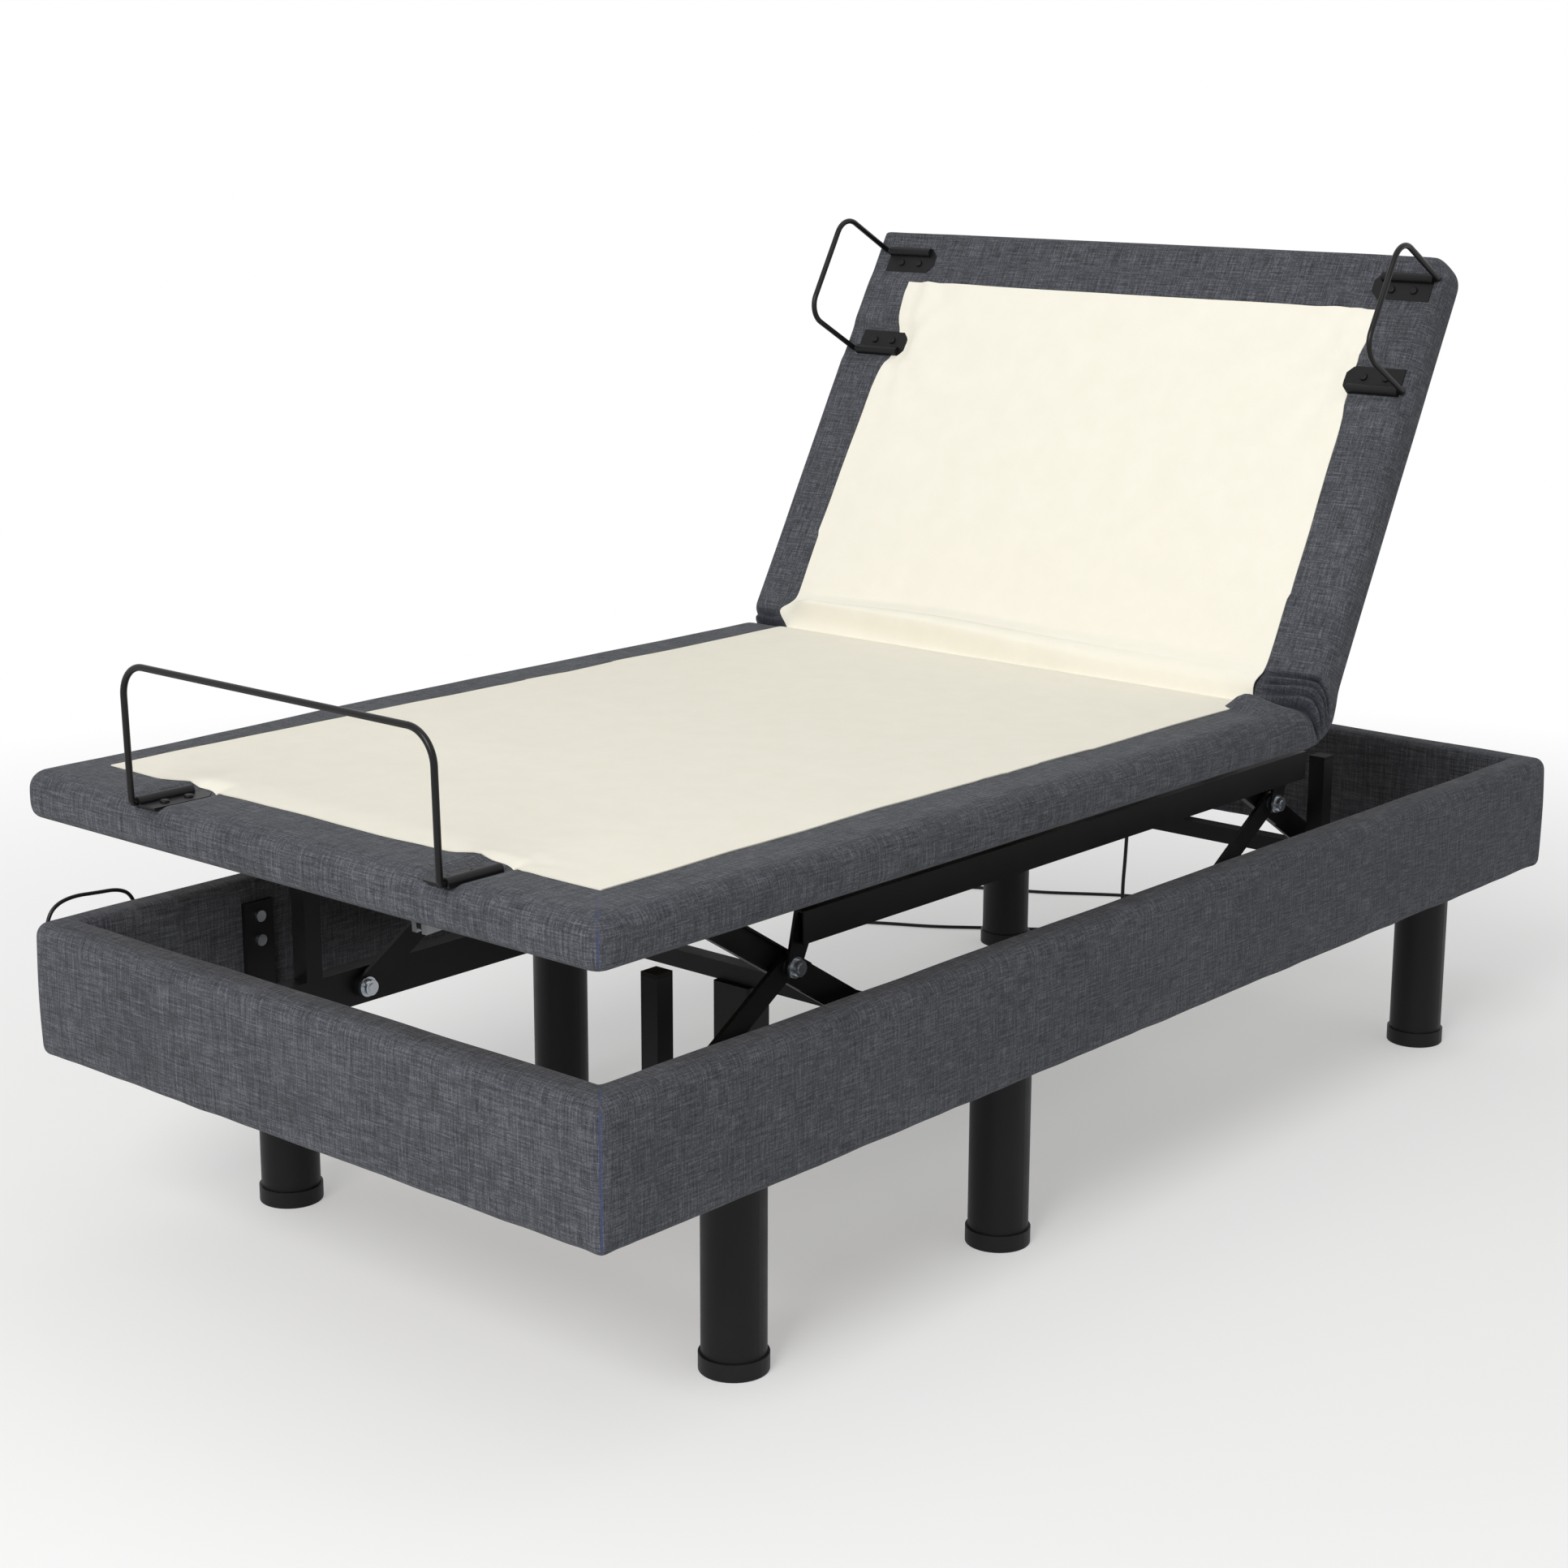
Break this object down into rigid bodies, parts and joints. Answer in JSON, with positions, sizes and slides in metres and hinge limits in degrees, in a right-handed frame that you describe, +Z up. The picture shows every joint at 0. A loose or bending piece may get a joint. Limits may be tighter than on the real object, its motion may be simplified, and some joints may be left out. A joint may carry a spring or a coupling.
{
  "type": "adjustable bed base",
  "caption": "Adjustable bed base with an upholstered surround, high-low scissor lift, hinged deck sections, linear actuators and mattress retainer bars.",
  "frame": {"origin": "on the floor, centred under the upholstered surround", "axes": "+Z up, +Y from the foot end to the head end, +X to the right of a person standing at the foot end and looking to the head"},
  "size_m": [1.2752, 2.2563, 1.2061],
  "materials": {
    "linen_fabric": "slubby woven blue-grey upholstery",
    "deck_felt": "cream non-woven deck felt",
    "plywood": "raw plywood",
    "satin_black_steel": "satin black powder coat",
    "gloss_black_steel": "gloss black powder coat",
    "zinc_steel": "bright zinc plate",
    "rod_steel": "drawn steel",
    "black_plastic": "moulded black plastic",
    "black_rubber": "moulded rubber",
    "cord_rubber": "smooth black sheath"
  },
  "bodies": {
    "base": {"side_rail_covers": "linen_fabric", "end_rail_covers": "linen_fabric", "surround_boards": "plywood", "lower_side_tubes": "satin_black_steel", "lower_cross_tubes": "satin_black_steel", "strap_plates": "satin_black_steel", "strap_bolts": "zinc_steel", "stop_posts": "satin_black_steel", "stop_post_pads": "black_rubber", "roller_tracks": "satin_black_steel", "leg_upper_segments": "satin_black_steel", "leg_lower_segments": "satin_black_steel", "leg_foot_caps": "black_plastic", "lower_pivot_bolts": "zinc_steel", "power_supply": "black_plastic", "control_box": "black_plastic", "cord_strain_relief": "black_plastic", "mains_cord": "cord_rubber", "mains_cord_coil": "cord_rubber", "mains_plug": "cord_rubber", "service_cable": "cord_rubber", "service_cable_glands": "black_plastic"},
    "foot_arm": {"foot_lift_arms": "satin_black_steel", "foot_centre_bolts": "zinc_steel"},
    "foot_cross": {"foot_cross_arms": "satin_black_steel", "foot_torque_tube": "satin_black_steel", "foot_rollers": "black_plastic"},
    "head_arm": {"head_lift_arms": "satin_black_steel", "head_centre_bolts": "zinc_steel"},
    "head_cross": {"head_cross_arms": "satin_black_steel", "head_stub_axles": "satin_black_steel", "head_rollers": "black_plastic"},
    "sync_link": {"sync_bars": "satin_black_steel"},
    "deck_chassis": {"chassis_side_tubes": "satin_black_steel", "chassis_cross_tubes": "satin_black_steel", "chassis_lugs": "satin_black_steel", "hinge_pins": "zinc_steel", "seat_cover": "deck_felt", "seat_board": "plywood"},
    "back": {"back_frame": "satin_black_steel", "back_board": "plywood", "back_cover": "deck_felt", "side_retainer_clamps": "satin_black_steel", "side_retainer_screws": "satin_black_steel", "side_retainers": "gloss_black_steel"},
    "thigh": {"thigh_frame": "satin_black_steel", "thigh_board": "plywood", "thigh_cover": "deck_felt"},
    "calf": {"calf_frame": "satin_black_steel", "calf_board": "plywood", "calf_cover": "deck_felt", "foot_retainer_clamps": "satin_black_steel", "foot_retainer_screws": "satin_black_steel", "foot_retainer": "gloss_black_steel"},
    "lift_motor": {"lift_actuator_motor": "black_plastic"},
    "lift_push_rod": {"lift_actuator_rod": "rod_steel"},
    "back_motor": {"back_actuator_motor": "black_plastic"},
    "back_push_rod": {"back_actuator_rod": "rod_steel"},
    "leg_motor": {"leg_actuator_motor": "black_plastic"},
    "leg_push_rod": {"leg_actuator_rod": "rod_steel"}
  },
  "joints": [
    {"name": "foot_lift", "type": "hinge", "parent": "base", "child": "foot_arm", "pos_m": [0, -0.667, 0.3], "axis": [1, 0, 0], "range_deg": [-19.9, 9]},
    {"name": "foot_cross", "type": "hinge", "parent": "foot_arm", "child": "foot_cross", "pos_m": [0, -0.5, 0.404], "axis": [1, 0, 0], "range_deg": [-18.6, 40.4]},
    {"name": "foot_top", "type": "hinge", "parent": "foot_cross", "child": "deck_chassis", "pos_m": [0, -0.667, 0.508], "axis": [1, 0, 0], "range_deg": [-20.5, 9.6]},
    {"name": "head_lift", "type": "hinge", "parent": "base", "child": "head_arm", "pos_m": [0, 0.388, 0.3], "axis": [1, 0, 0], "range_deg": [-20.5, 9.6]},
    {"name": "head_cross", "type": "hinge", "parent": "head_arm", "child": "head_cross", "pos_m": [0, 0.555, 0.404], "axis": [1, 0, 0], "range_deg": [-18.6, 40.4]},
    {"name": "sync", "type": "hinge", "parent": "foot_arm", "child": "sync_link", "pos_m": [0, -0.5, 0.404], "axis": [1, 0, 0], "range_deg": [-9.6, 20.5]},
    {"name": "back_tilt", "type": "hinge", "parent": "deck_chassis", "child": "back", "pos_m": [0, 0.336, 0.552], "axis": [1, 0, 0], "range_deg": [-61, 3]},
    {"name": "thigh_tilt", "type": "hinge", "parent": "deck_chassis", "child": "thigh", "pos_m": [0, 0.06, 0.552], "axis": [-1, 0, 0], "range_deg": [0, 35]},
    {"name": "calf_tilt", "type": "hinge", "parent": "thigh", "child": "calf", "pos_m": [0, -0.3, 0.552], "axis": [-1, 0, 0], "range_deg": [-51.7, 0.6]},
    {"name": "lift_motor_swing", "type": "hinge", "parent": "deck_chassis", "child": "lift_motor", "pos_m": [0, -0.19, 0.44], "axis": [1, 0, 0], "range_deg": [-0.39, 0.499]},
    {"name": "lift_stroke", "type": "slide", "parent": "lift_motor", "child": "lift_push_rod", "axis": [0, -0.9985, -0.0546], "range_m": [-0.0336, 0.0158]},
    {"name": "back_motor_swing", "type": "hinge", "parent": "deck_chassis", "child": "back_motor", "pos_m": [0, -0.19, 0.47], "axis": [1, 0, 0], "range_deg": [-1.81, 0.37]},
    {"name": "back_stroke", "type": "slide", "parent": "back_motor", "child": "back_push_rod", "axis": [0, 0.9969, -0.0782], "range_m": [-0.1526, 0.0085]},
    {"name": "leg_motor_swing", "type": "hinge", "parent": "deck_chassis", "child": "leg_motor", "pos_m": [0, 0.56, 0.47], "axis": [1, 0, 0], "range_deg": [-1.05, 0.3]},
    {"name": "leg_stroke", "type": "slide", "parent": "leg_motor", "child": "leg_push_rod", "axis": [0, -0.9959, -0.0907], "range_m": [-0.001, 0.0789]}
  ],
  "couplings": [
    {"joint": "foot_cross", "follows": "foot_lift", "ratio": -2},
    {"joint": "foot_top", "follows": "foot_lift", "ratio": 1},
    {"joint": "head_lift", "follows": "foot_lift", "ratio": 1},
    {"joint": "head_cross", "follows": "foot_lift", "ratio": -2},
    {"joint": "sync", "follows": "foot_lift", "ratio": -1},
    {"joint": "lift_motor_swing", "follows": "foot_lift", "ratio": -0.01},
    {"joint": "lift_stroke", "follows": "foot_lift", "m_per_rad": 0.094},
    {"joint": "back_motor_swing", "follows": "back_tilt", "ratio": 0.0247},
    {"joint": "back_stroke", "follows": "back_tilt", "m_per_rad": 0.1424},
    {"joint": "calf_tilt", "follows": "thigh_tilt", "ratio": -1.46},
    {"joint": "leg_motor_swing", "follows": "thigh_tilt", "ratio": -0.0215},
    {"joint": "leg_stroke", "follows": "thigh_tilt", "m_per_rad": 0.1275}
  ]
}
